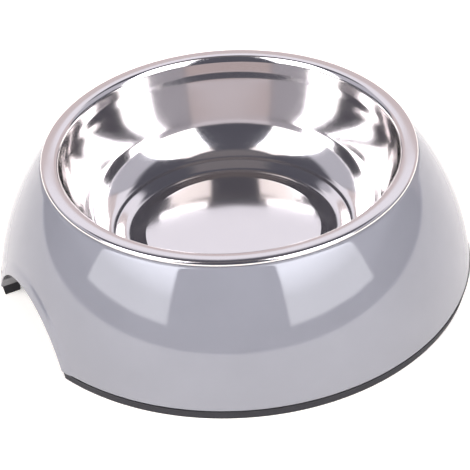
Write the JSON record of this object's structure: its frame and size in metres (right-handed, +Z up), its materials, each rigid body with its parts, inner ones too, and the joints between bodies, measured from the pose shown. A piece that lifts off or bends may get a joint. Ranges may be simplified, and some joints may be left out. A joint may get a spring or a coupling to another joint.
{
  "type": "pet bowl",
  "caption": "Round pet bowl: a polished steel dish with a rolled rim sits in a glossy moulded stand with finger arches and rubber grip strips.",
  "frame": {"origin": "on the ground at the bowl's axis, the centre of the box's bottom", "axes": "+Z up along the bowl's axis, the finger arches open along +X and -X, the strips lie on the -Y and +Y sides"},
  "size_m": [0.2114, 0.2198, 0.0667],
  "materials": {
    "moulding": "glossy grey moulding",
    "steel": "polished stainless steel",
    "rubber": "matt dark rubber"
  },
  "bodies": {
    "stand": {"stand": "moulding", "front_grip_strip": "rubber", "rear_grip_strip": "rubber"},
    "bowl": {"bowl": "steel"}
  },
  "joints": [
    {"name": "bowl_lift", "type": "slide", "parent": "stand", "child": "bowl", "axis": [0, 0, 1], "range_m": [0, 0.06]}
  ]
}
